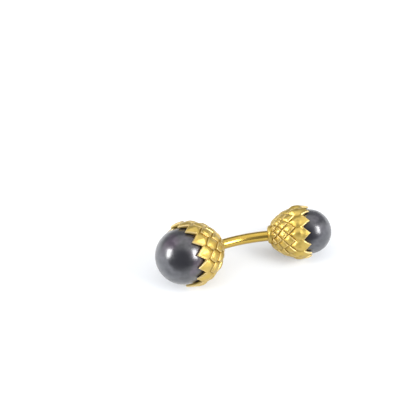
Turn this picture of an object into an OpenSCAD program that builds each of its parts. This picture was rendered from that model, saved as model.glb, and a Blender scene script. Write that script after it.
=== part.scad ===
// A fixed-bar cufflink. A short curved bar joins two cups of overlapping pointed
// scales, and each cup grips a round pearl that sits on a post.
// Each cup is worked out in its own frame: its pearl's centre is the origin, and +Z
// points away from the bar. Lengths are millimetres and angles are degrees.

/* [Pearls] */
// Diameter of the large pearl
large_pearl_d = 10.5; // [10:0.1:11]
// Diameter of the small pearl
small_pearl_d = 8.2; // [7.8:0.1:8.6]
// Gap that each pearl keeps to its cup and its post
pearl_gap = 0.08; // [0.05:0.01:0.12]

/* [Bar] */
// Diameter of the curved bar
bar_d = 1.7; // [1.4:0.1:2]
// Straight distance between the places where the bar enters the two cups
bar_chord = 9.8; // [9:0.1:12]
// Angle between each cup's axis and that straight line
head_turn = 16; // [8:0.1:20]
// Diameter of the collar where the bar enters the large cup
large_collar_d = 2.7; // [2.2:0.1:3.2]
// Diameter of the collar where the bar enters the small cup
small_collar_d = 3.4; // [2.4:0.1:3.6]
// Diameter of the post inside each pearl
post_d = 1; // [0.8:0.1:1.4]

/* [Large cup] */
// Scales in each row
large_scales = 14; // [12:1:16]
// Diameter at the widest circle, measured under the scales
large_cup_d = 11.4; // [11.3:0.1:11.8]
// Depth of the widest circle below the pearl's centre
large_waist = 1.73; // [1.5:0.05:2]
// Length from the widest circle back to the bar
large_back = 6; // [5.6:0.1:6.4]
// Length in which the back, if it ran on, would close
large_close = 6.05; // [6:0.05:6.6]
// Length in which the front, if it ran on, would close over the pearl
large_front = 7; // [6.6:0.1:7.4]
// Fullness of the back: 2 is an ellipse, less is nearer to a cone
large_fullness = 1.5; // [1.4:0.05:2]

/* [Small cup] */
// Scales in each row
small_scales = 12; // [10:1:14]
// Diameter at the widest circle, measured under the scales
small_cup_d = 9.3; // [9.2:0.1:9.7]
// Depth of the widest circle below the pearl's centre
small_waist = 1.44; // [1.3:0.05:1.6]
// Length from the widest circle back to the bar
small_back = 5.7; // [5.5:0.1:6]
// Length in which the back, if it ran on, would close
small_close = 6.2; // [6:0.05:6.6]
// Length in which the front, if it ran on, would close over the pearl
small_front = 3.9; // [3.7:0.1:4.2]
// Fullness of the back: 2 is an ellipse, less is nearer to a cone
small_fullness = 1.64; // [1.4:0.05:2]

/* [Scales] */
// How far the free edge of a scale stands above the next row, on the large cup
large_step = 0.26; // [0.15:0.01:0.32]
// The same on the small cup
small_step = 0.22; // [0.12:0.01:0.28]
// How far the middle of a scale swells, as a share of its step
scale_swell = 0.75; // [0:0.05:1]
// How high the scales of the rim's row stand, as a share of the other rows
rim_row_rise = 0.7; // [0.5:0.05:1]
// Thickness of each cup's wall under the scales
wall = 0.6; // [0.5:0.05:0.9]
// Extra gap between the rim of a cup and its pearl
rim_gap = 0.12; // [0:0.02:0.2]

/* [How it lies] */
// Turn about the length that brings the large cup down on its scales
lie_roll = -23.18; // [-60:0.01:60]
// Tilt of the length, down at the small cup
lie_pitch = 2.8; // [-5:0.01:5]
// Turn of the large cup's scales about their own axis
large_phase = 6.3; // [0:0.1:25]
// Turn of the small cup's scales about their own axis
small_phase = 11; // [0:0.5:30]
// Height of the bar's middle above the surface
lie_height = 4.685; // [4:0.001:7]
// Shift along the length that centres the whole cufflink
centre_x = 0.820; // [-3:0.001:3]
// Shift across the length that centres the whole cufflink
centre_y = 1.544; // [-3:0.001:3]

/* [Hidden] */

// Angles down each cup, from its widest circle towards the bar, at which the tips of
// the rows lie, with one more for the row that the collar hides
large_tips = [-18, 6, 28.5, 50, 71];
small_tips = [-25.5, 13, 27, 38.5, 49.5, 60];
// Angle from a scale's tip to its shoulders, one for each of those rows
large_points = [14, 14.5, 12, 12, 10];
small_points = [20, 12, 10.5, 9.5, 9, 8];

// Quads across half a scale, along a scale, and from the rim down the inside of a cup
half_across = 3;
along = 4;
inner_rings = 6;

// How far a collar stands out along the bar, how much wider than the bar it starts, and
// how deep it goes into the cup
collar_rise = 0.5;
collar_lip = 0.24;
collar_sink = 0.9;
// How far a post reaches past the pearl's centre, for each unit of the pearl's radius
post_reach = 0.3;
// Angle by which the bar runs on into each cup
bar_overrun = 1;

// Facets round the bar, the collars and the posts, along a full turn of the bar's arc,
// and round a pearl
round_facets = 48;
arc_facets = 180;
pearl_facets = 96;

// A cup is a list of its sizes, read by these names
PEARL_R = 0;
WIDEST_R = 1;
WAIST = 2;
BACK = 3;
CLOSE = 4;
FRONT = 5;
FULLNESS = 6;
STEP = 7;
SCALES = 8;
TIPS = 9;
POINTS = 10;
large_cup = [large_pearl_d / 2, large_cup_d / 2, large_waist, large_back, large_close,
             large_front, large_fullness, large_step, large_scales, large_tips, large_points];
small_cup = [small_pearl_d / 2, small_cup_d / 2, small_waist, small_back, small_close,
             small_front, small_fullness, small_step, small_scales, small_tips, small_points];

// Distance from a pearl's centre back to the point where the bar enters its cup
function neck(cup) = cup[WAIST] + cup[BACK];
function rows(cup) = len(cup[TIPS]) - 1;

// A point on a cup: turn is the angle round it, down the angle from the widest
// circle towards the bar, and lift the height above the plain cup
function fore(cup, down) = cup[FRONT] * sin(-down);
function aft(cup, down) = -cup[CLOSE] * pow(sin(down), 2 / cup[FULLNESS]);
function on_cup(cup, turn, down, lift) =
    let (r = (cup[WIDEST_R] + lift) * cos(down))
    let (z = (down < 0 ? fore(cup, down) : aft(cup, down)) - lift * sin(down))
    [r * cos(turn), r * sin(turn), z - cup[WAIST]];

// A scale runs across from -1 to 1 and along from 0 at its free edge to 1 where the
// next row covers it. Its free edge comes to a point between two shoulders.
function free_edge(cup, row, x) = cup[TIPS][row] + cup[POINTS][row] * abs(x);
function covered_edge(cup, row, x) = free_edge(cup, row + 1, 1 - abs(x));
function scale_turn(cup, row, n, x) = 360 / cup[SCALES] * (n + (row + x) / 2);
function row_step(cup, row) = cup[STEP] * (row == 0 ? rim_row_rise : 1);
function scale_lift(cup, row, x, y) =
    row_step(cup, row) * (1 - y + scale_swell * cos(90 * x) * sin(180 * y));
function scale_point(cup, row, n, x, y) =
    let (low = free_edge(cup, row, x), high = covered_edge(cup, row, x))
    on_cup(cup, scale_turn(cup, row, n, x), low + (high - low) * y,
        scale_lift(cup, row, x, y));

// Corners of all the scales: two neighbours share the corners along their sides
scale_corners = 2 * half_across * (along + 1);
function corner(cup, row, n, i, j) =
    i == 2 * half_across ? corner(cup, row, n + 1, 0, j) :
    ((row * cup[SCALES] + n % cup[SCALES]) * 2 * half_across + i) * (along + 1) + j;

// The inside keeps a wall's thickness from the plain cup, but stays clear of the pearl,
// by a little more at the rim. It starts under the free edges of the rim's scales.
function inner_column(cup, n, i) = (n * 2 * half_across + i) % (cup[SCALES] * 2 * half_across);
function inner_point(cup, n, i, k) =
    let (x = i / half_across - 1, start = free_edge(cup, 0, x))
    let (down = start + (90 - start) * k / inner_rings)
    let (q = on_cup(cup, scale_turn(cup, 0, n, x), down, -wall))
    let (p = [q[0], q[1], max(q[2], wall - neck(cup))])
    let (clear = cup[PEARL_R] + pearl_gap + rim_gap * pow(1 - k / inner_rings, 3))
    p * max(1, clear / norm(p));

function quad(a, b, c, d) = [[a, c, b], [a, d, c]];
function flat(lists) = [for (one = lists) for (item = one) item];

// One cup as a closed skin: the scales, the steps between their rows, the rim, the
// inside, and the middle of the back that the collar covers
module cup_skin(cup) {
    across = 2 * half_across;
    count = cup[SCALES];
    last = rows(cup) - 1;
    columns = count * across;
    inner_start = rows(cup) * columns * (along + 1);
    back_middle = inner_start + inner_rings * columns;
    inner_middle = back_middle + 1;

    scale_points = [for (row = [0:last]) for (n = [0:count - 1]) for (i = [0:across - 1])
        for (j = [0:along]) scale_point(cup, row, n, i / half_across - 1, j / along)];
    inner_points = [for (k = [0:inner_rings - 1]) for (n = [0:count - 1])
        for (i = [0:across - 1]) inner_point(cup, n, i, k)];
    middles = [[0, 0, -neck(cup)], [0, 0, wall - neck(cup)]];

    scale_faces = [for (row = [0:last]) for (n = [0:count - 1]) for (i = [0:across - 1])
        for (j = [0:along - 1]) quad(corner(cup, row, n, i, j), corner(cup, row, n, i, j + 1),
            corner(cup, row, n, i + 1, j + 1), corner(cup, row, n, i + 1, j))];
    // Half of each free edge stands over the scale to its right in the row before
    right_steps = [for (row = [1:last]) for (n = [0:count - 1]) for (i = [0:half_across - 1])
        quad(corner(cup, row, n, half_across + i, 0), corner(cup, row, n, half_across + i + 1, 0),
            corner(cup, row - 1, n + 1, i + 1, along), corner(cup, row - 1, n + 1, i, along))];
    left_steps = [for (row = [1:last]) for (n = [0:count - 1]) for (i = [0:half_across - 1])
        quad(corner(cup, row, n, i, 0), corner(cup, row, n, i + 1, 0),
            corner(cup, row - 1, n, half_across + i + 1, along),
            corner(cup, row - 1, n, half_across + i, along))];
    rim_faces = [for (n = [0:count - 1]) for (i = [0:across - 1])
        quad(corner(cup, 0, n, i, 0), corner(cup, 0, n, i + 1, 0),
            inner_start + inner_column(cup, n, i + 1), inner_start + inner_column(cup, n, i))];
    inner_faces = [for (k = [0:inner_rings - 2]) for (n = [0:count - 1]) for (i = [0:across - 1])
        let (upper = inner_start + k * columns, lower = upper + columns)
        quad(upper + inner_column(cup, n, i), upper + inner_column(cup, n, i + 1),
            lower + inner_column(cup, n, i + 1), lower + inner_column(cup, n, i))];
    inner_last = inner_start + (inner_rings - 1) * columns;
    inner_fan = [for (n = [0:count - 1]) for (i = [0:across - 1])
        [inner_last + inner_column(cup, n, i + 1), inner_last + inner_column(cup, n, i), inner_middle]];
    back_fan = [for (n = [0:count - 1]) for (i = [0:across - 1])
        [corner(cup, last, n, i, along), corner(cup, last, n, i + 1, along), back_middle]];

    polyhedron(points = concat(scale_points, inner_points, middles),
        faces = concat(flat(scale_faces), flat(right_steps), flat(left_steps), flat(rim_faces),
            flat(inner_faces), inner_fan, back_fan));
}

// The collar narrows from the cup to the bar, which ends inside it
module collar(cup, collar_d) {
    translate([0, 0, -neck(cup) - collar_rise])
        cylinder(h = collar_rise, d1 = bar_d + collar_lip, d2 = collar_d, $fn = round_facets);
    translate([0, 0, -neck(cup)])
        cylinder(h = collar_sink, d = collar_d, $fn = round_facets);
}

// The post stands on the back of the cup and reaches past the middle of the pearl
module post(cup) {
    post_h = neck(cup) - collar_sink / 2 + cup[PEARL_R] * post_reach;
    translate([0, 0, -neck(cup) + collar_sink / 2])
        cylinder(h = post_h, d = post_d, $fn = round_facets);
}

module head(cup, collar_d) {
    cup_skin(cup);
    collar(cup, collar_d);
    post(cup);
}

// The bar is an arc whose ends lie along the axes of the two cups
bar_bend_r = bar_chord / 2 / sin(head_turn);
module bar() {
    translate([0, -bar_bend_r * cos(head_turn), 0])
        rotate([0, 0, 90 - head_turn - bar_overrun])
            rotate_extrude(angle = 2 * (head_turn + bar_overrun), $fn = arc_facets)
                translate([bar_bend_r, 0])
                    circle(d = bar_d, $fn = round_facets);
}

// Puts a cup's own frame at the end of the bar: side is -1 for the large cup's end
module at_end(side, cup, phase) {
    translate([side * bar_chord / 2, 0, 0])
        rotate([0, 0, -side * head_turn])
            translate([side * neck(cup), 0, 0])
                rotate([0, side * 90, 0])
                    rotate([0, 0, phase])
                        children();
}

// Lays the whole cufflink down as it rests on a table
module lie() {
    translate([centre_x, centre_y, lie_height])
        rotate([0, lie_pitch, 0])
            rotate([lie_roll, 0, 0])
                children();
}

module pearl(d) {
    difference() {
        sphere(d = d, $fn = pearl_facets);
        translate([0, 0, -d])
            cylinder(h = d + d / 2 * post_reach + pearl_gap, d = post_d + 2 * pearl_gap,
                $fn = round_facets);
    }
}

module gold_frame() {
    color("#d9b445")
        lie() {
            bar();
            at_end(-1, large_cup, large_phase)
                head(large_cup, large_collar_d);
            at_end(1, small_cup, small_phase)
                head(small_cup, small_collar_d);
        }
}

module large_pearl() {
    color("#4a4a55")
        lie()
            at_end(-1, large_cup, large_phase)
                pearl(large_pearl_d);
}

module small_pearl() {
    color("#4a4a55")
        lie()
            at_end(1, small_cup, small_phase)
                pearl(small_pearl_d);
}

gold_frame();
large_pearl();
small_pearl();
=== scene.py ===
import math
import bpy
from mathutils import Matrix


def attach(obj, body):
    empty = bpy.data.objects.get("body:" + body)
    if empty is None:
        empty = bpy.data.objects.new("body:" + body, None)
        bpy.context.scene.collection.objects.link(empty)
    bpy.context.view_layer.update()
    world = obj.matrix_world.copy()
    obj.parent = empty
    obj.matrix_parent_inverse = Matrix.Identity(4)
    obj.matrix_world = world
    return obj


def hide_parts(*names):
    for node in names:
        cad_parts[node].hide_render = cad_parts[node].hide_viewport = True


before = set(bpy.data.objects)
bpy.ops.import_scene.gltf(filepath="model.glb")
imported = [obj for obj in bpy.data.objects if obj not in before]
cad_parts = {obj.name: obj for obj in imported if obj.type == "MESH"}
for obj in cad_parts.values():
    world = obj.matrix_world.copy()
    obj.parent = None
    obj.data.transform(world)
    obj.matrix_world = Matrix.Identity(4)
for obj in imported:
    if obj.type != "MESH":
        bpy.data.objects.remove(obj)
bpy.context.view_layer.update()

from types import SimpleNamespace

import bmesh
import bpy
import numpy as np
from mathutils import Matrix, Vector

# A fixed-bar cufflink. A curved bar joins two cups of overlapping pointed scales, and each
# cup holds a dark pearl. Sizes are in millimetres and degrees unless a name or comment says
# otherwise, and Blender gets them in metres.
MM = 0.001

# The bar, and the angle between each cup's axis and the straight line from cup to cup.
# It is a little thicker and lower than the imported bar, as the picture shows it.
BAR_D = 1.9
BAR_DROP = 0.2
BAR_CHORD = 9.8
HEAD_TURN = 16
BAR_RUN_ON = 1  # degrees by which the bar runs on into each collar

# The collar where the bar enters a cup: how far it stands out along the bar, how deep it goes
# into the cup, how far inside the cup's end its straight side stops, and how much of the way
# to the bar's radius it narrows
COLLAR_RISE = 0.5
COLLAR_SINK = 0.9
COLLAR_EDGE = 0.02
COLLAR_FLARE = 0.96

# The post inside a pearl: how far its foot is from the bar's end of the cup, and how far it
# reaches past the pearl's centre, as a share of the pearl's radius
POST_D = 1
POST_FOOT = 0.4
POST_REACH = 0.3

# The gaps round a pearl, the one at the rim on top of the other, and the cup's wall
PEARL_GAP = 0.08
RIM_GAP = 0.04
WALL = 0.6

# How it lies on the table, where the middle of its bar is, and the least height of any point
LIE_ROLL = -23.18
LIE_PITCH = 2.8
LIE_PLACE = (0.820, 1.544, 4.685)
TABLE_GAP = 0.01

# The two cups. Each has its pearl's centre at its origin and opens towards +Z.
# side: its end of the bar, -1 left or 1 right. phase: the turn of its scales about its axis.
# widest_r: radius of its widest circle, under the scales. waist: how far that circle lies
# below the pearl's centre. back: from that circle to where the bar enters.
# close, front: from that circle to where the back and the front would close, if they ran on.
# fullness: 2 makes the back an ellipse, and less makes it more of a cone.
# tips: angles down the cup to each row's tips, the rim's first, and to the end of the last row.
# points: angle from each of those tips to the shoulders of its scale.
# step: how far a free edge stands above the next row. swell: how much prouder all scales stand.
# keel, dish, dimple: height of the ridge, and depths of the hollow and the dimple, on the rim.
LARGE = SimpleNamespace(
    side=-1, phase=6.3, pearl_r=5.25, widest_r=5.7, waist=1.73, back=6, close=6.05, front=7,
    fullness=1.5, scales=14, collar_d=2.7, step=0.26, swell=0.1, keel=0.07, dish=0.1, dimple=0,
    tips=[-18, 6, 28.5, 50, 71], points=[14, 14.5, 12, 12, 10],
)
SMALL = SimpleNamespace(
    side=1, phase=11, pearl_r=4.1, widest_r=4.65, waist=1.44, back=5.7, close=6.2, front=3.9,
    fullness=1.64, scales=12, collar_d=3.4, step=0.22, swell=0.02, keel=0.02, dish=0.2, dimple=0.08,
    tips=[-25.5, 14, 27.5, 39, 49.5, 60], points=[20, 12.5, 10.5, 9.5, 9, 8],
)

# Form of a scale: its rise towards the free edge, how far it sinks where it is covered, and how
# high its middle swells, at most, and for each millimetre that the middle lies in from the
# edges. The rise, the sinking and the height are the large cup's, and so are the border and
# the groove below. The small cup's are less, as its step is less.
FREE_RISE = 0.17
COVERED_SINK = 0.1
PILLOW_HEIGHT = 0.5
PILLOW_SLOPE = 0.46
PILLOW_CURVE = 1.6
EDGE_ROUND = 0.1
EDGE_STEEPNESS = 0.96  # 1 would end the rounded edge upright
HAND_CUT = 0.04  # the usual lean, bend or rise that a scale has of its own

# Lines along a scale's free edge: how far in each lies and how wide it is, and its height.
# A rim scale also rises round its tip, as far as the width of RIM_TIP.
RIM_BORDER = (0.17, 0.13)
RIM_BORDER_HEIGHT = 0.09
BORDER = (0.12, 0.09)
BORDER_HEIGHT = 0.045
GROOVE = (0.29, 0.07)
GROOVE_DEPTH = 0.035
RIM_TIP = (0, 0.3)
RIM_TIP_HEIGHT = 0.06

# Ridge of a rim scale, which fades to both sides and ends on the way along it. The others are
# a middle and a width along the scale, from 0 at the free edge to 1 where it is covered, or
# across it, from -1 to 1. The mound lies behind the dimple and is as high as that is deep.
KEEL_WIDTH = 0.2
KEEL_END = 0.7
DISH = (0.38, 0.19)
DIMPLE = (0.63, 0.06)
DIMPLE_ACROSS = (0, 0.16)
MOUND = (0.8, 0.09)
MOUND_ACROSS = (0, 0.4)

# Where shade is painted dark on the gold, and where a highlight is painted pale on its free
# edges: how far in from an edge, how wide and how strongly. The cleft where the next row
# covers a scale is wholly painted dark, as shade.
COVERED_SHADE = (0, 0.11)
SIDE_SHADE = (0, 0.08)
SIDE_SHADE_SHARE = 0.6
GROOVE_SHADE_SHARE = 0.35
DIMPLE_SHADE_SHARE = 0.7
EDGE_HIGHLIGHT = (0.05, 0.13)
RIM_EDGE_HIGHLIGHT = 0.9
ROW_EDGE_HIGHLIGHT = 0.5

# Quads across half a scale and along it. The first ones along it are the finest, because the
# border and the groove lie there.
HALF_ACROSS = 12
LIP_STEPS = 14
BODY_STEPS = 16
LIP_SHARE = 0.24

# Quads along or down the other forms, and round them
INSIDE_STEPS = 12
FLARE_STEPS = 8
COLLAR_AROUND = 96
POST_AROUND = 32
BAR_STEPS = 60
BAR_AROUND = 48
HOLE_STEPS = 5
PEARL_STEPS = 120
PEARL_AROUND = 160

# Points closer than WELD metres are welded, and edges sharper than SHARP_EDGE stay sharp
WELD = 2e-7
SHARP_EDGE = 48

# The slow waves that make a pearl uneven: how fast each runs along x, y and z, where it
# starts and how strong it is. PEARL_UNEVEN is the most that they take off the radius, as a
# share of it.
PEARL_WAVES = (
    ((2.1, 1.3, 0), 0.7, 1),
    ((0, 2.7, -1.9), 2, 1),
    ((2.2, 0, 4.3), 0, 0.6),
)
PEARL_UNEVEN = 0.003


# Where things are


def turned(axis, degrees):
    return Matrix.Rotation(math.radians(degrees), 4, axis)


def tilted(pitch, roll):
    return turned("Y", pitch) @ turned("X", roll)


LIE = Matrix.Translation(LIE_PLACE) @ tilted(LIE_PITCH, LIE_ROLL)


def neck(cup):
    """How far below the pearl's centre the bar enters the cup."""
    return cup.waist + cup.back


def head_place(cup):
    """Takes a cup from its own frame to its place on the table, in millimetres."""
    return (
        LIE
        @ Matrix.Translation((cup.side * BAR_CHORD / 2, 0, 0))
        @ turned("Z", -cup.side * HEAD_TURN)
        @ Matrix.Translation((cup.side * neck(cup), 0, 0))
        @ turned("Y", cup.side * 90)
        @ turned("Z", cup.phase)
    )


def placed(points, place):
    """Points in metres, from points in millimetres and the place that they go to."""
    matrix = np.array(place)
    return (points @ matrix[:3, :3].T + matrix[:3, 3]) * MM


def grid_of(x, y, z):
    """Points of a grid, from coordinates that change along it, across it or both."""
    return np.stack(np.broadcast_arrays(x, y, z), axis=-1)


# The outline of a cup

OUTSIDE_DOWN = -60  # beyond any tip
BACK_DOWN = 90  # the middle of the back
DOWN_STEPS = 600


def profile(cup, down, lift):
    """Radius and height of the cup at an angle down it, with a lift off the plain cup."""
    angle = np.radians(down)
    fore = -cup.front * np.sin(angle)
    aft = -cup.close * np.power(np.maximum(np.sin(angle), 0), 2 / cup.fullness)
    r = (cup.widest_r + lift) * np.cos(angle)
    z = np.where(down < 0, fore, aft) - lift * np.sin(angle) - cup.waist
    return r, z


def on_cup(cup, turn, down, lift):
    """Points of the cup, from the angles round it and down it and a lift off the plain cup."""
    r, z = profile(cup, down, lift)
    angle = np.radians(turn)
    return grid_of(r * np.cos(angle), r * np.sin(angle), z)


def length_down(cup):
    """Gives the millimetres along the plain cup for an angle down it."""
    down = np.linspace(OUTSIDE_DOWN, BACK_DOWN, DOWN_STEPS + 1)
    r, z = profile(cup, down, 0)
    length = np.concatenate([[0], np.cumsum(np.hypot(np.diff(r), np.diff(z)))])
    return lambda angle: np.interp(angle, down, length)


# The scales


def bump(distance, middle, width):
    """1 at the middle, falling softly to 0 on both sides of it."""
    return np.exp(-(((distance - middle) / width) ** 2))


def soft_least(*distances, crispness=4.0, least=1e-4):
    """The least of some distances, eased where two of them are alike."""
    near = sum(np.maximum(distance, least) ** -crispness for distance in distances)
    return near ** (-1 / crispness)


def scale_grid(cup, row, length):
    """A scale of a row as a grid: its angles on the cup, and how far its edges are.

    across runs from -1 to 1, and along from 0 at the free edge to 1 where the next row covers
    the scale.
    """
    across = np.linspace(-1, 1, 2 * HALF_ACROSS + 1)[:, None]
    lip = np.linspace(0, LIP_SHARE, LIP_STEPS + 1)
    body = np.linspace(LIP_SHARE, 1, BODY_STEPS + 1)[1:]
    along = np.concatenate([lip, body])[None, :]
    tip, next_tip = cup.tips[row : row + 2]
    point, next_point = cup.points[row : row + 2]
    free = tip + point * np.abs(across)
    covered = next_tip + next_point * (1 - np.abs(across))
    down = free + (covered - free) * along
    half_width = math.radians(180 / cup.scales) * profile(cup, down, 0)[0]
    here = length(down)

    def to_slanted(edges, slant):
        """How far the two slanted halves of an edge are, taken square to them."""
        return soft_least(*(np.abs(here - length(edge)) / math.hypot(1, slant) for edge in edges))

    free_slant = (length(free[0, 0]) - length(tip)) / half_width.max()
    covered_slant = (length(covered[HALF_ACROSS, 0]) - length(covered[0, 0])) / half_width.min()
    sides = (-1, 1)
    return SimpleNamespace(
        across=across,
        along=along,
        turn=180 / cup.scales * (row + across),
        down=down,
        to_tip=np.hypot(across * half_width, here - length(tip)),
        to_free=to_slanted([tip + side * point * across for side in sides], free_slant),
        to_covered=to_slanted(
            [next_tip + next_point * (1 + side * across) for side in sides], covered_slant
        ),
        to_side=(1 - np.abs(across)) * half_width,
    )


def share_of_step(cup):
    """The step of a cup's scales, as a share of the large cup's."""
    return cup.step / LARGE.step


def pillow(cup, scale):
    """Height of a scale's plain form, a pillow over its own outline, above the plain cup."""
    share = share_of_step(cup)
    inward = soft_least(scale.to_free, scale.to_side, scale.to_covered)
    middle = inward.max()
    height = min(PILLOW_HEIGHT * share, PILLOW_SLOPE * middle)
    swelling = height * (1 - (1 - np.clip(inward / middle, 0, 1)) ** PILLOW_CURVE)
    return cup.swell + share * (FREE_RISE * (1 - scale.along) - COVERED_SINK) + swelling


def rim_relief(cup, scale):
    """The ridge, hollow, dimple and border of a rim scale, and how much shade is painted in its
    dimple.
    """
    ridge = np.exp(-np.abs(scale.across) / KEEL_WIDTH)
    keel = ridge * np.sin(np.pi * np.clip(scale.along / KEEL_END, 0, 1))
    dish = (1 - scale.across**2) * bump(scale.along, *DISH)
    dimple = bump(scale.across, *DIMPLE_ACROSS) * bump(scale.along, *DIMPLE)
    mound = bump(scale.across, *MOUND_ACROSS) * bump(scale.along, *MOUND)
    lift = cup.keel * keel - cup.dish * dish + cup.dimple * (mound - dimple)
    lift += RIM_TIP_HEIGHT * bump(scale.to_tip, *RIM_TIP)
    lift += RIM_BORDER_HEIGHT * bump(scale.to_free, *RIM_BORDER)
    # Shade painted into the dimple
    dark = DIMPLE_SHADE_SHARE * dimple if cup.dimple else 0
    return lift, dark


def row_relief(cup, scale):
    """The raised border of a scale and the fine groove behind it, and how much shade is painted in
    the groove.
    """
    groove = bump(scale.to_free, *GROOVE)
    border = bump(scale.to_free, *BORDER)
    lift = (BORDER_HEIGHT * border - GROOVE_DEPTH * groove) * share_of_step(cup)
    return lift, GROOVE_SHADE_SHARE * groove


def scale_relief(cup, row, scale):
    """Height of a scale above the plain cup, and its value of painted shade and highlight.

    That value is 1 where shade is painted deepest, in a cleft, and below 0 on a free edge with a
    painted highlight.
    """
    rim = row == 0
    relief, dark = rim_relief(cup, scale) if rim else row_relief(cup, scale)
    edge = np.clip(1 - scale.to_free / EDGE_ROUND, 0, 1)
    rounding = EDGE_ROUND * (1 - np.sqrt(1 - EDGE_STEEPNESS * edge**2))
    # Shade painted where the next row covers the scale and in the creases at its sides, and a
    # highlight painted on its free edge
    covered = bump(scale.to_covered, *COVERED_SHADE)
    side = SIDE_SHADE_SHARE * bump(scale.to_side, *SIDE_SHADE)
    painted_light = np.maximum(np.maximum(covered, side), dark)
    edge_highlight = (RIM_EDGE_HIGHLIGHT if rim else ROW_EDGE_HIGHLIGHT) * bump(scale.to_free, *EDGE_HIGHLIGHT)
    return pillow(cup, scale) + relief - rounding, painted_light - edge_highlight * (1 - painted_light)


def hand_cut(lift, scale, draw):
    """Gives one scale a lean, a bend and a rise of its own, which end at its two sides."""
    lean, bend, rise = draw.normal(0, HAND_CUT, 3)
    own = 2 * lean * scale.across + bend * (2 * scale.along - 1) + rise
    return lift + (1 - scale.across**2) * own


# Meshes


class Skin:
    """Points, faces and values of painted shade and highlight, gathered before they become one
    mesh.
    """

    def __init__(self):
        self.points = []
        self.painted_light = []
        self.faces = []
        self.count = 0

    def add(self, points, painted_light=0.0):
        """Adds a grid of points, and returns their numbers in the same shape."""
        shape = points.shape[:-1]
        self.points.append(points.reshape(-1, 3))
        self.painted_light.append(np.broadcast_to(painted_light, shape).reshape(-1))
        numbers = self.count + np.arange(math.prod(shape)).reshape(shape)
        self.count += numbers.size
        return numbers

    def strip(self, upper, lower):
        """Joins two rows of points of equal length."""
        corners = (upper[:-1], lower[:-1], lower[1:], upper[1:])
        self.faces.append(np.stack(corners, axis=-1))

    def sheet(self, rows):
        """Joins each row of points to the next."""
        for upper, lower in zip(rows[:-1], rows[1:]):
            self.strip(upper, lower)

    def fan(self, edge, middle):
        """Closes an edge to one point."""
        self.strip(edge, self.add(np.tile(np.array(middle, float), (len(edge), 1))))


def in_scene(name, data):
    """A new object of the scene for a mesh, a camera or a lamp."""
    thing = bpy.data.objects.new(name, data)
    bpy.context.scene.collection.objects.link(thing)
    return thing


def finished_mesh(name, skin, place, material):
    """Makes a piece from its skin, worn flat where it would reach below the table."""
    points = placed(np.vstack(skin.points), place)
    points[:, 2] = np.maximum(points[:, 2], TABLE_GAP * MM)
    mesh = bpy.data.meshes.new(name)
    mesh.from_pydata(points.tolist(), [], np.vstack(skin.faces).tolist())
    # Each point's value of painted shade and painted highlight, which the gold's colour reads
    painted_light = mesh.attributes.new("painted_light", "FLOAT", "POINT")
    painted_light.data.foreach_set("value", np.concatenate(skin.painted_light).astype(np.float32))
    piece = in_scene(name, mesh)
    weld_and_smooth(mesh)
    mesh.materials.append(material)
    return piece


def weld_and_smooth(mesh):
    """Makes one closed skin of a mesh, smooth but for its sharp edges."""
    bm = bmesh.new()
    bm.from_mesh(mesh)
    bmesh.ops.remove_doubles(bm, verts=bm.verts, dist=WELD)
    bmesh.ops.recalc_face_normals(bm, faces=bm.faces)
    for face in bm.faces:
        face.smooth = True
    bm.to_mesh(mesh)
    bm.free()
    mesh.set_sharp_from_angle(angle=math.radians(SHARP_EDGE))


def lathed(skin, outline, around):
    """Turns an outline of radii and heights about Z."""
    turn = np.radians(np.linspace(0, 360, around + 1))
    r, z = np.array(outline, float).T[:, :, None]
    skin.sheet(skin.add(grid_of(r * np.cos(turn), r * np.sin(turn), z)))


# The gold pieces


def cup_skin(cup):
    """One cup: its scales, the walls under them, its inside, back, collar and post."""
    skin = Skin()
    length = length_down(cup)
    draw = np.random.default_rng(cup.scales)
    rows = [row_of_scales(cup, skin, row, length, draw) for row in range(len(cup.tips) - 1)]
    for covered, covering in zip(rows[:-1], rows[1:]):
        walls_under(skin, covering, covered)
    inside_of_cup(cup, skin, rows[0])
    for scale in rows[-1]:
        skin.fan(scale[:, -1], (0, 0, -neck(cup)))
    collar_and_post(cup, skin)
    return skin


def row_of_scales(cup, skin, row, length, draw):
    """Lays the scales of one row, and returns the numbers of their points."""
    scale = scale_grid(cup, row, length)
    lift, painted_light = scale_relief(cup, row, scale)
    laid = []
    for n in range(cup.scales):
        turn = scale.turn + 360 / cup.scales * n
        points = on_cup(cup, turn, scale.down, hand_cut(lift, scale, draw))
        laid.append(skin.add(points, painted_light))
        skin.sheet(laid[n])
    return laid


def walls_under(skin, covering, covered):
    """The walls from the free edges of one row to the two scales that each of them covers."""
    for n, scale in enumerate(covering):
        free = scale[:, 0]
        left = covered[n][:, -1]
        right = covered[(n + 1) % len(covered)][:, -1]
        skin.strip(free[HALF_ACROSS:], right[: HALF_ACROSS + 1])
        skin.strip(free[: HALF_ACROSS + 1], left[HALF_ACROSS:])


def inside_of_cup(cup, skin, rim):
    """From under the rim's free edges down the inside to the middle of the back."""
    across = np.linspace(-1, 1, 2 * HALF_ACROSS + 1)
    start = cup.tips[0] + cup.points[0] * np.abs(across)
    for n, scale in enumerate(rim):
        turn = 360 / cup.scales * n + 180 / cup.scales * across
        above = scale[:, 0]
        # Every point of the inside, down to the middle of the back, is painted wholly in shade
        for way in np.linspace(0, 1, INSIDE_STEPS + 1)[:-1]:
            points = on_cup(cup, turn, start + (BACK_DOWN - start) * way, -WALL)
            clear = cup.pearl_r + PEARL_GAP + RIM_GAP * (1 - way) ** 3
            points *= np.maximum(1, clear / np.linalg.norm(points, axis=-1))[:, None]
            below = skin.add(points, 1.0)
            skin.strip(below, above)
            above = below
        middle = skin.add(np.tile([0, 0, WALL - neck(cup)], (len(across), 1)), 1.0)
        skin.strip(middle, above)


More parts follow.
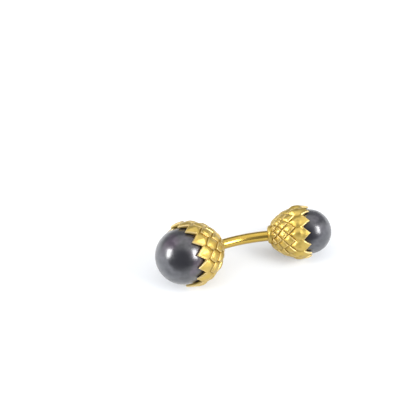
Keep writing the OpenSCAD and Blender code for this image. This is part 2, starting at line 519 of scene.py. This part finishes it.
def collar_and_post(cup, skin):
    """The collar where the bar enters the cup, and the post that carries the pearl."""
    back = -neck(cup)
    collar_r = cup.collar_d / 2
    narrowing = (collar_r - BAR_D / 2) * COLLAR_FLARE
    flare = [
        (collar_r - narrowing * (1 - math.cos(angle)), back - COLLAR_RISE * math.sin(angle))
        for angle in np.radians(np.linspace(0, 90, FLARE_STEPS + 1))
    ]
    sunk = back + COLLAR_SINK
    edge = back + COLLAR_EDGE
    ring = [(0, sunk), (collar_r, sunk), (collar_r, edge), *flare, (0, back - COLLAR_RISE)]
    lathed(skin, ring, COLLAR_AROUND)
    post_r = POST_D / 2
    foot = back + POST_FOOT
    top = cup.pearl_r * POST_REACH
    lathed(skin, [(0, foot), (post_r, foot), (post_r, top), (0, top)], POST_AROUND)


def bar_skin():
    """The curved bar, a round rod along an arc between the two collars."""
    skin = Skin()
    head_turn = math.radians(HEAD_TURN)
    bend_r = BAR_CHORD / 2 / math.sin(head_turn)
    end = HEAD_TURN + BAR_RUN_ON
    along = np.radians(np.linspace(-end, end, BAR_STEPS + 1))[:, None]
    around = np.radians(np.linspace(0, 360, BAR_AROUND + 1))[None, :]
    bar_r = BAR_D / 2
    out = bend_r + bar_r * np.cos(around)
    middle_y = bend_r * math.cos(head_turn)
    height = bar_r * np.sin(around) - BAR_DROP
    points = grid_of(out * np.sin(along), out * np.cos(along) - middle_y, height)
    rings = skin.add(points)
    skin.sheet(rings)
    for ring, ring_points in ((rings[0], points[0]), (rings[-1], points[-1])):
        skin.fan(ring, ring_points.mean(axis=0))
    return skin


# The pearls


def pearl_skin(cup):
    """A pearl as a turned solid with its drilled hole, a little uneven as real ones are."""
    skin = Skin()
    hole_r = POST_D / 2 + PEARL_GAP
    hole_top = cup.pearl_r * POST_REACH + PEARL_GAP
    mouth = math.asin(hole_r / cup.pearl_r)
    mouth_z = -cup.pearl_r * math.cos(mouth)
    hole = [(hole_r, z) for z in np.linspace(hole_top, mouth_z, HOLE_STEPS + 1)[:-1]]
    ball = [
        (cup.pearl_r * math.sin(angle), cup.pearl_r * math.cos(angle))
        for angle in np.linspace(math.pi - mouth, 0, PEARL_STEPS + 1)
    ]
    lathed(skin, [(0, hole_top), *hole, *ball], PEARL_AROUND)
    points = np.vstack(skin.points)
    way = points / np.linalg.norm(points, axis=1)[:, None]
    waves = sum(strength * np.sin(way @ speed + start) for speed, start, strength in PEARL_WAVES)
    uneven = waves / sum(strength for speed, start, strength in PEARL_WAVES)
    skin.points = [points * (1 - PEARL_UNEVEN / 2 * (1 + uneven))[:, None]]
    return skin


# The parts of the materials


def set_values(node, values):
    """Sets sockets of a node to plain values, by their names."""
    for label, value in values.items():
        node.inputs[label].default_value = value


def feed(tree, socket, source):
    """Links a socket to another one, or sets it to a plain value."""
    if isinstance(source, bpy.types.NodeSocket):
        tree.links.new(source, socket)
    else:
        socket.default_value = source


def new_material(name):
    """A new material, its node tree and its shader."""
    material = bpy.data.materials.new(name)
    material.use_nodes = True
    tree = material.node_tree
    shader = next(node for node in tree.nodes if node.type == "BSDF_PRINCIPLED")
    return material, tree, shader


def new_group(name, inputs, outputs):
    """An empty shader node group with named inputs and outputs, and its sockets inside."""
    group = bpy.data.node_groups.new(name, "ShaderNodeTree")
    for way, sockets in (("INPUT", inputs), ("OUTPUT", outputs)):
        for label, kind in sockets.items():
            group.interface.new_socket(label, in_out=way, socket_type="NodeSocket" + kind)
    given = group.nodes.new("NodeGroupInput").outputs
    result = group.nodes.new("NodeGroupOutput").inputs
    return group, given, result


def place_group(tree, group, values):
    """Places a group in a material with its own values, and returns its outputs."""
    node = tree.nodes.new("ShaderNodeGroup")
    node.node_tree = group
    set_values(node, values)
    return node.outputs


def mix_colours(tree, factor, one, other):
    """One colour where the factor is 0, the other where it is 1."""
    mix = tree.nodes.new("ShaderNodeMix")
    mix.data_type = "RGBA"
    feed(tree, mix.inputs["Factor"], factor)
    feed(tree, mix.inputs["A"], one)
    feed(tree, mix.inputs["B"], other)
    return mix.outputs["Result"]


def stretched(tree, value, before, after, curve="LINEAR"):
    """Moves a value that lies between two ends to its like place between two others."""
    node = tree.nodes.new("ShaderNodeMapRange")
    node.interpolation_type = curve
    feed(tree, node.inputs["Value"], value)
    for label, end in zip(("From Min", "From Max", "To Min", "To Max"), (*before, *after)):
        feed(tree, node.inputs[label], end)
    return node.outputs["Result"]


def eased(tree, value, ends):
    """Eases a value from 0 at the first end to 1 at the second."""
    return stretched(tree, value, ends, (0, 1), "SMOOTHSTEP")


def arithmetic(tree, operation, *values, clamp=False):
    """Works out a number from others, at every point of a surface."""
    node = tree.nodes.new("ShaderNodeMath")
    node.operation = operation
    node.use_clamp = clamp
    for socket, value in zip(node.inputs, values):
        feed(tree, socket, value)
    return node.outputs["Value"]


def vector_arithmetic(tree, operation, vector, other):
    """The same with vectors. Their product and their distance are numbers, the rest vectors."""
    node = tree.nodes.new("ShaderNodeVectorMath")
    node.operation = operation
    feed(tree, node.inputs[0], vector)
    feed(tree, node.inputs["Scale" if operation == "SCALE" else 1], other)
    return node.outputs["Value" if operation in ("DOT_PRODUCT", "DISTANCE") else "Vector"]


def cloud(tree, where, scale, detail):
    """A value that drifts over a surface as clouds do."""
    noise = tree.nodes.new("ShaderNodeTexNoise")
    feed(tree, noise.inputs["Vector"], where)
    feed(tree, noise.inputs["Scale"], scale)
    feed(tree, noise.inputs["Detail"], detail)
    return noise.outputs["Fac"]


# Gold

# Painted light on the gold: a pale highlight painted on free edges, and brown shade painted in the
# clefts
EDGE_HIGHLIGHT_COLOUR = (0.92, 0.75, 0.42, 1)
EDGE_HIGHLIGHT_SHARE = 0.7
PAINTED_SHADE_BROWN = (0.22, 0.13, 0.014, 1)
PAINTED_SHADE_SHARE = 0.75
GOLD_CLOUDS = 420  # to the metre


def gold_group():
    """Gold with painted shade, browner in its clefts, and a painted highlight, pale on its free
    edges.

    A value on the mesh's points says where: 1 deep in a cleft, and below 0 on a highlighted free
    edge.
    """
    group, given, result = new_group(
        "gold_shade_and_highlight",
        {"Pale": "Color", "Deep": "Color", "Smooth": "Float", "Rough": "Float"},
        {"Colour": "Color", "Haze": "Float"},
    )
    where = group.nodes.new("ShaderNodeTexCoord").outputs["Object"]
    attribute = group.nodes.new("ShaderNodeAttribute")
    attribute.attribute_name = "painted_light"
    painted_light = attribute.outputs["Fac"]
    tint = cloud(group, where, GOLD_CLOUDS, detail=3)
    edge_highlight = arithmetic(group, "MULTIPLY", painted_light, -EDGE_HIGHLIGHT_SHARE, clamp=True)
    shade = arithmetic(group, "MULTIPLY", painted_light, PAINTED_SHADE_SHARE, clamp=True)
    plain = mix_colours(group, tint, given["Pale"], given["Deep"])
    gold_with_shade_and_highlight = mix_colours(group, edge_highlight, plain, EDGE_HIGHLIGHT_COLOUR)
    feed(group, result["Colour"], mix_colours(group, shade, gold_with_shade_and_highlight, PAINTED_SHADE_BROWN))
    feed(group, result["Haze"], stretched(group, tint, (0, 1), (given["Smooth"], given["Rough"])))
    return group


def gold_material(name, gold, pale, deep, smooth, rough):
    """Gold between a pale and a deep tint, and between a smooth and a rough finish."""
    material, tree, shader = new_material(name)
    gold_with_shade_and_highlight = place_group(tree, gold, {"Pale": pale, "Deep": deep, "Smooth": smooth, "Rough": rough})
    feed(tree, shader.inputs["Base Color"], gold_with_shade_and_highlight["Colour"])
    feed(tree, shader.inputs["Roughness"], gold_with_shade_and_highlight["Haze"])
    set_values(shader, {"Metallic": 1, "Coat Weight": 0.3, "Coat Roughness": 0.25})
    return material


# Nacre

# A pair says where something starts and where it is full: the plum by the value of its clouds,
# the painted reflection of the floor and the painted dark reflection by the cosine of the angle
# from their middles, and the blemish by the distance from its middle, in the pearl's radii.
# The mottling goes from one shade to the other.
PLUM_CLOUD = (0.4, 0.6)
FLOOR_REFLECTION_ZONE = (0.3, 1)
DARK_REFLECTION_ZONE = (0.855, 0.955)
DARK_REFLECTION_RAGGED = 0.12  # how far clouds push out the edge of the painted dark reflection
BLEMISH = (0.13, 0.05)
MOTTLE_NOISE = (0.3, 0.7)
MOTTLE_SHADES = (0.66, 1.18)
GLOSS = (1, 0.2)  # off the painted dark reflection and in it
HAZE = (0.3, 0.45)
EDGE_SHEEN = (0.035, 0.038, 0.048, 1)
EDGE_BLEND = 0.25


def nacre_group():
    """The clouds of a dark pearl: a deep ground, plum, one blemish, a painted floor reflection and
    a painted dark reflection.
    """
    group, given, result = new_group(
        "dark_nacre",
        {
            "Centre": "Vector", "Radius": "Float",
            "Floor Reflection Side": "Vector", "Blemish Side": "Vector", "Dark Reflection Side": "Vector",
            "Deep": "Color", "Plum": "Color", "Floor Reflection": "Color",
        },
        {"Colour": "Color", "Haze": "Float", "Lustre": "Float"},
    )
    where = group.nodes.new("ShaderNodeTexCoord").outputs["Object"]
    from_centre = vector_arithmetic(group, "SUBTRACT", where, given["Centre"])
    shrunk = arithmetic(group, "DIVIDE", 1, given["Radius"])
    way = vector_arithmetic(group, "SCALE", from_centre, shrunk)

    clouded = eased(group, cloud(group, way, scale=1.7, detail=2), PLUM_CLOUD)
    plum = mix_colours(group, clouded, given["Deep"], given["Plum"])
    # One side is painted lighter, as a reflection of the white floor
    to_floor_reflection = vector_arithmetic(group, "DOT_PRODUCT", way, given["Floor Reflection Side"])
    floor_reflection = mix_colours(group, eased(group, to_floor_reflection, FLOOR_REFLECTION_ZONE), plum, given["Floor Reflection"])
    speckle = cloud(group, way, scale=5, detail=6)
    mottle = stretched(group, speckle, MOTTLE_NOISE, MOTTLE_SHADES)
    mottled = vector_arithmetic(group, "SCALE", floor_reflection, mottle)
    to_blemish = vector_arithmetic(group, "DISTANCE", way, given["Blemish Side"])
    marked = mix_colours(group, eased(group, to_blemish, BLEMISH), mottled, given["Deep"])

    # A patch is painted dark, with less coat, as a dark reflection where the pearl faces the camera
    to_dark_reflection = vector_arithmetic(group, "DOT_PRODUCT", way, given["Dark Reflection Side"])
    push = cloud(group, way, scale=3, detail=3)
    ragged = arithmetic(group, "MULTIPLY_ADD", push, DARK_REFLECTION_RAGGED, to_dark_reflection)
    usual_push = DARK_REFLECTION_RAGGED / 2
    dark_patch = eased(group, ragged, [end + usual_push for end in DARK_REFLECTION_ZONE])
    gloss = stretched(group, dark_patch, (0, 1), GLOSS)
    feed(group, result["Colour"], mix_colours(group, dark_patch, marked, given["Deep"]))
    feed(group, result["Lustre"], arithmetic(group, "MULTIPLY", gloss, mottle))
    haze = stretched(group, cloud(group, way, scale=4, detail=3), (0, 1), HAZE)
    feed(group, result["Haze"], haze)
    return group


def pearl_material(name, clouds, cup, floor_reflection_side, blemish_side, dark_reflection_side, deep, plum, floor_reflection):
    """Nacre for the pearl of one cup. The sides are ways from its centre."""
    material, tree, shader = new_material(name)
    nacre = place_group(tree, clouds, {
        "Centre": placed(np.zeros(3), head_place(cup)).tolist(),
        "Radius": cup.pearl_r * MM,
        "Floor Reflection Side": floor_reflection_side,
        "Blemish Side": blemish_side,
        "Dark Reflection Side": Vector(dark_reflection_side).normalized(),
        "Deep": deep,
        "Plum": plum,
        "Floor Reflection": floor_reflection,
    })
    edge = tree.nodes.new("ShaderNodeLayerWeight")
    set_values(edge, {"Blend": EDGE_BLEND})
    sheen = mix_colours(tree, edge.outputs["Facing"], nacre["Colour"], EDGE_SHEEN)
    feed(tree, shader.inputs["Base Color"], sheen)
    feed(tree, shader.inputs["Roughness"], nacre["Haze"])
    feed(tree, shader.inputs["Coat Weight"], nacre["Lustre"])
    set_values(shader, {
        "IOR": 1.4, "Specular Tint": (0.96, 0.96, 1, 1), "Coat IOR": 1.75, "Coat Roughness": 0.23,
    })
    return material


# The cufflink

gold = gold_group()
satin_gold = gold_material(
    "satin_gold", gold,
    pale=(0.63, 0.465, 0.13, 1), deep=(0.53, 0.375, 0.075, 1), smooth=0.41, rough=0.5,
)
bar_gold = gold_material(
    "bar_gold", gold,
    pale=(0.58, 0.4, 0.085, 1), deep=(0.5, 0.325, 0.045, 1), smooth=0.15, rough=0.23,
)
clouds = nacre_group()
# Each pearl's sides: its painted reflection of the floor, its blemish and its painted dark
# reflection
large_pearl_nacre = pearl_material(
    "dark_nacre_large", clouds, LARGE,
    floor_reflection_side=(-0.85, -0.5, -0.2), blemish_side=(-0.36, -0.93, -0.1),
    dark_reflection_side=(-0.33, -0.72, 0.61),
    deep=(0.012, 0.012, 0.016, 1), plum=(0.048, 0.03, 0.052, 1), floor_reflection=(0.04, 0.043, 0.055, 1),
)
small_pearl_nacre = pearl_material(
    "dark_nacre_small", clouds, SMALL,
    floor_reflection_side=(0.45, -0.88, -0.1), blemish_side=(0.9, 0.3, 0.3),
    dark_reflection_side=(-0.27, -0.71, 0.65),
    deep=(0.013, 0.013, 0.019, 1), plum=(0.035, 0.027, 0.05, 1), floor_reflection=(0.04, 0.043, 0.055, 1),
)


def gold_piece(name, skin, place, material):
    """A cup or the bar, which together stand for the frame of soldered gold."""
    piece = finished_mesh(name, skin, place, material)
    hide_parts("gold_frame")
    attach(piece, "root")


def pearl_piece(name, cup, node, material):
    """The pearl of one cup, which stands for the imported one."""
    piece = finished_mesh(name, pearl_skin(cup), head_place(cup), material)
    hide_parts(node)
    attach(piece, "root")


gold_piece("large_scale_cup", cup_skin(LARGE), head_place(LARGE), satin_gold)
gold_piece("small_scale_cup", cup_skin(SMALL), head_place(SMALL), satin_gold)
gold_piece("curved_bar", bar_skin(), LIE, bar_gold)
pearl_piece("large_dark_pearl", LARGE, "large_pearl", large_pearl_nacre)
pearl_piece("small_dark_pearl", SMALL, "small_pearl", small_pearl_nacre)

# The table

TABLE_HALF = 1.5  # metres
PAPER_GLOW = (0.2, 0.2, 0.2, 1)
PAPER_GLOW_TO_CAMERA = (0.3, 0.31, 0.33, 1)


def white_paper():
    """Paper that glows more to the camera than to the pieces that reflect it."""
    material, tree, shader = new_material("white_paper")
    set_values(shader, {
        "Base Color": (0.56, 0.57, 0.58, 1), "Roughness": 0.9, "Emission Strength": 1,
    })
    seen = tree.nodes.new("ShaderNodeLightPath").outputs["Is Camera Ray"]
    glow = mix_colours(tree, seen, PAPER_GLOW, PAPER_GLOW_TO_CAMERA)
    feed(tree, shader.inputs["Emission Color"], glow)
    return material


def table_top():
    """The sheet of paper that the cufflink lies on."""
    mesh = bpy.data.meshes.new("table_top")
    w = TABLE_HALF
    mesh.from_pydata([(-w, -w, 0), (w, -w, 0), (w, w, 0), (-w, w, 0)], [], [(0, 1, 2, 3)])
    mesh.materials.append(white_paper())
    floor = in_scene("table_top", mesh)


table_top()

# The camera. It stood so to the cufflink while that lay at the seen pitch and roll, and it is
# turned along with the cufflink from there to the lie above.
VIEW_TURN = -17.46
VIEW_RISE = 45.45
SEEN_PITCH = 2.61
SEEN_ROLL = -23.56
AIM_LEFT = 8.18  # from the bar's middle to the middle of the picture
AIM_UP = 7.22
CAMERA_MM = 900
FRAME_MM = 73.16  # the width that the picture takes in
SENSOR_MM = 36
SEES_METRES = (0.05, 10)


def camera_ways():
    """The ways right, up and back of the camera."""
    turn = math.radians(VIEW_TURN)
    rise = math.radians(VIEW_RISE)
    level = math.cos(rise)
    back = Vector((math.sin(turn) * level, -math.cos(turn) * level, math.sin(rise)))
    right = Vector((math.cos(turn), math.sin(turn), 0))
    up = back.cross(right)
    settled = tilted(LIE_PITCH, LIE_ROLL) @ tilted(SEEN_PITCH, SEEN_ROLL).inverted()
    return [settled.to_3x3() @ way for way in (right, up, back)]


def stand_at(thing, right, up, back, metres):
    """Stands a camera or a lamp at a place, looking away from its back."""
    stand = Matrix((right, up, back)).transposed().to_4x4()
    stand.translation = metres
    thing.matrix_world = stand


right, up, back = camera_ways()
aim = Vector(LIE_PLACE) - AIM_LEFT * right + AIM_UP * up
camera = in_scene("camera", bpy.data.cameras.new("camera"))
camera.data.sensor_width = SENSOR_MM
camera.data.lens = SENSOR_MM * CAMERA_MM / FRAME_MM
camera.data.clip_start, camera.data.clip_end = SEES_METRES
stand_at(camera, right, up, back, (aim + CAMERA_MM * back) * MM)
scene = bpy.context.scene
scene.camera = camera
scene.view_settings.view_transform = "Standard"

# The lights


def soft_box(name, toward, distance, size, brightness):
    """A lamp that faces the cufflink. Its power is its brightness times pi times its area."""
    way = (right * toward[0] + up * toward[1] + back * toward[2]).normalized()
    across = up.cross(way).normalized()
    lamp = bpy.data.lights.new(name, "AREA")
    lamp.shape = "RECTANGLE"
    lamp.size, lamp.size_y = size
    lamp.energy = brightness * math.pi * size[0] * size[1]
    stand_at(in_scene(name, lamp), across, way.cross(across), way, way * distance)


def white_tent(brightness):
    """Even light from all round."""
    world = bpy.data.worlds.new("white_tent")
    world.use_nodes = True
    set_values(world.node_tree.nodes["Background"], {"Color": (1, 1, 1, 1), "Strength": brightness})
    scene.world = world


# Name, the way to it as parts right, up and back of the camera, its distance, its width and
# height in metres, and its brightness
LAMPS = (
    ("left_soft_box", (-0.86, 0.15, 0.48), 0.5, (0.18, 0.26), 17),
    ("right_soft_box", (0.71, 0.14, 0.69), 0.5, (0.18, 0.3), 15),
    ("top_soft_box", (0.05, 0.95, 0.25), 0.6, (0.9, 0.4), 0.8),
    ("overhead_diffuser", (0, 0.66, 0.75), 0.6, (0.8, 0.5), 0.9),
    ("left_wall", (-0.97, 0.2, 0.1), 0.7, (0.5, 0.6), 0.7),
    ("right_wall", (0.97, 0.2, 0.1), 0.7, (0.5, 0.6), 1),
)
for lamp in LAMPS:
    soft_box(*lamp)
white_tent(brightness=0.35)
